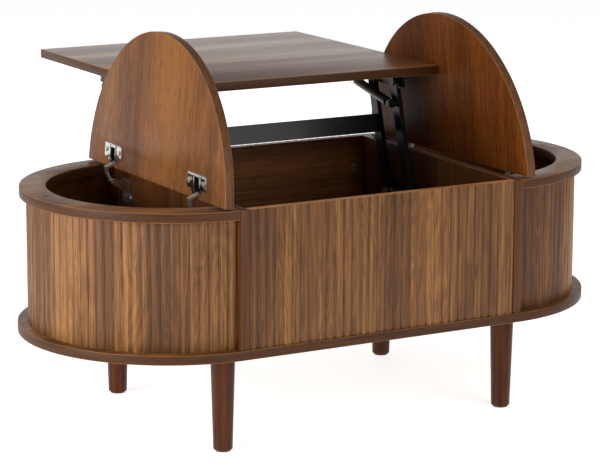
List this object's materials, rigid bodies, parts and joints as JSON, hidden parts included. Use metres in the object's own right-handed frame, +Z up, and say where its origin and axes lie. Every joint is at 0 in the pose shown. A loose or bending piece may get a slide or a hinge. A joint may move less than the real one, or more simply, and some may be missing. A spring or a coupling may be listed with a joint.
{
  "type": "lift top coffee table",
  "caption": "Oval fluted coffee table on round tapered legs, with a centre top that lifts up and forward on steel linkages and a half-round lid opening at each end.",
  "frame": {"origin": "on the floor, midway along the length and midway across the whole table with its top raised; the case itself is centred at x = 0, y = -0.1245 m", "axes": "+X along the table's length, +Z up, +Y towards the side that the raised top moves to"},
  "size_m": [0.9998, 0.749, 0.635],
  "materials": {
    "walnut": "walnut-grain foil, satin",
    "lid_walnut": "walnut-grain foil, satin, warmer",
    "dark_wood": "dark stained and lacquered",
    "black_steel": "black powder coat, satin",
    "nickel": "bright nickel plate",
    "zinc_steel": "zinc plated",
    "glide": "matt",
    "pad": "matt, translucent"
  },
  "bodies": {
    "base": {"bottom_panel": "walnut", "left_partition": "walnut", "right_partition": "walnut", "front_panel": "walnut", "rear_panel": "walnut", "left_end_shell": "walnut", "right_end_shell": "walnut", "left_rim": "walnut", "right_rim": "walnut", "leg_front_left": "dark_wood", "leg_front_right": "dark_wood", "leg_rear_left": "dark_wood", "leg_rear_right": "dark_wood", "leg_inserts": "zinc_steel", "leg_bolts": "zinc_steel", "leg_glides": "glide", "hinge_plate_left_front": "zinc_steel", "hinge_plate_left_rear": "zinc_steel", "hinge_plate_right_front": "zinc_steel", "hinge_plate_right_rear": "zinc_steel", "hinge_arm_left_front": "nickel", "hinge_arm_left_rear": "nickel", "hinge_arm_right_front": "nickel", "hinge_arm_right_rear": "nickel", "plate_screws": "zinc_steel", "left_base_plate": "black_steel", "right_base_plate": "black_steel", "base_pivots": "zinc_steel", "cam_fittings": "zinc_steel", "bottom_screws": "zinc_steel", "bumper_pads": "pad"},
    "rear_arms": {"left_rear_arm": "black_steel", "right_rear_arm": "black_steel", "cross_bar": "black_steel", "bar_bolts": "zinc_steel"},
    "front_arms": {"left_front_arm": "black_steel", "right_front_arm": "black_steel", "arm_studs": "black_steel"},
    "lift_top": {"lift_top": "walnut", "left_top_rail": "black_steel", "right_top_rail": "black_steel", "top_pivots": "black_steel", "rail_studs": "zinc_steel", "rail_screws": "zinc_steel"},
    "strut_tubes": {"left_strut_tube": "black_steel", "right_strut_tube": "black_steel"},
    "strut_rods": {"left_strut_rod": "black_steel", "right_strut_rod": "black_steel"},
    "left_links": {"hinge_link_left_front": "nickel", "hinge_link_left_rear": "nickel"},
    "left_lid": {"left_lid": "lid_walnut", "hinge_cup_left_front": "nickel", "hinge_cup_left_rear": "nickel", "cup_screws_left": "zinc_steel"},
    "right_links": {"hinge_link_right_front": "nickel", "hinge_link_right_rear": "nickel"},
    "right_lid": {"right_lid": "lid_walnut", "hinge_cup_right_front": "nickel", "hinge_cup_right_rear": "nickel", "cup_screws_right": "zinc_steel"}
  },
  "joints": [
    {"name": "rear_arm_swing", "type": "hinge", "parent": "base", "child": "rear_arms", "pos_m": [0, 0.0055, 0.311], "axis": [1, 0, 0], "range_deg": [0, 88.03]},
    {"name": "front_arm_swing", "type": "hinge", "parent": "base", "child": "front_arms", "pos_m": [0, -0.0695, 0.306], "axis": [1, 0, 0], "range_deg": [0, 88.04]},
    {"name": "top_pivot", "type": "hinge", "parent": "rear_arms", "child": "lift_top", "pos_m": [0, 0.06109, 0.51143], "axis": [1, 0, 0], "range_deg": [-88.04, 0]},
    {"name": "strut_pivot", "type": "hinge", "parent": "front_arms", "child": "strut_tubes", "pos_m": [0, -0.02407, 0.46982], "axis": [1, 0, 0], "range_deg": [-94.67, 0]},
    {"name": "strut_slide", "type": "slide", "parent": "strut_tubes", "child": "strut_rods", "axis": [0, 0.9777, 0.21], "range_m": [-0.0499, 0]},
    {"name": "left_link_hinge", "type": "hinge", "parent": "base", "child": "left_links", "pos_m": [-0.28729, 0, 0.37265], "axis": [0, -1, 0], "range_deg": [-28.22, 0]},
    {"name": "left_lid_hinge", "type": "hinge", "parent": "left_links", "child": "left_lid", "pos_m": [-0.28045, 0, 0.40282], "axis": [0, -1, 0], "range_deg": [0, 122.21]},
    {"name": "right_link_hinge", "type": "hinge", "parent": "base", "child": "right_links", "pos_m": [0.28729, 0, 0.37265], "axis": [0, 1, 0], "range_deg": [-28.22, 0]},
    {"name": "right_lid_hinge", "type": "hinge", "parent": "right_links", "child": "right_lid", "pos_m": [0.28045, 0, 0.40282], "axis": [0, 1, 0], "range_deg": [0, 122.21]}
  ],
  "couplings": [
    {"joint": "front_arm_swing", "follows": "rear_arm_swing", "ratio": 1},
    {"joint": "top_pivot", "follows": "rear_arm_swing", "ratio": -1},
    {"joint": "strut_pivot", "follows": "rear_arm_swing", "ratio": -1.0752},
    {"joint": "strut_slide", "follows": "rear_arm_swing", "m_per_rad": -0.032413},
    {"joint": "left_link_hinge", "follows": "left_lid_hinge", "ratio": -0.23084},
    {"joint": "right_link_hinge", "follows": "right_lid_hinge", "ratio": -0.23084}
  ]
}
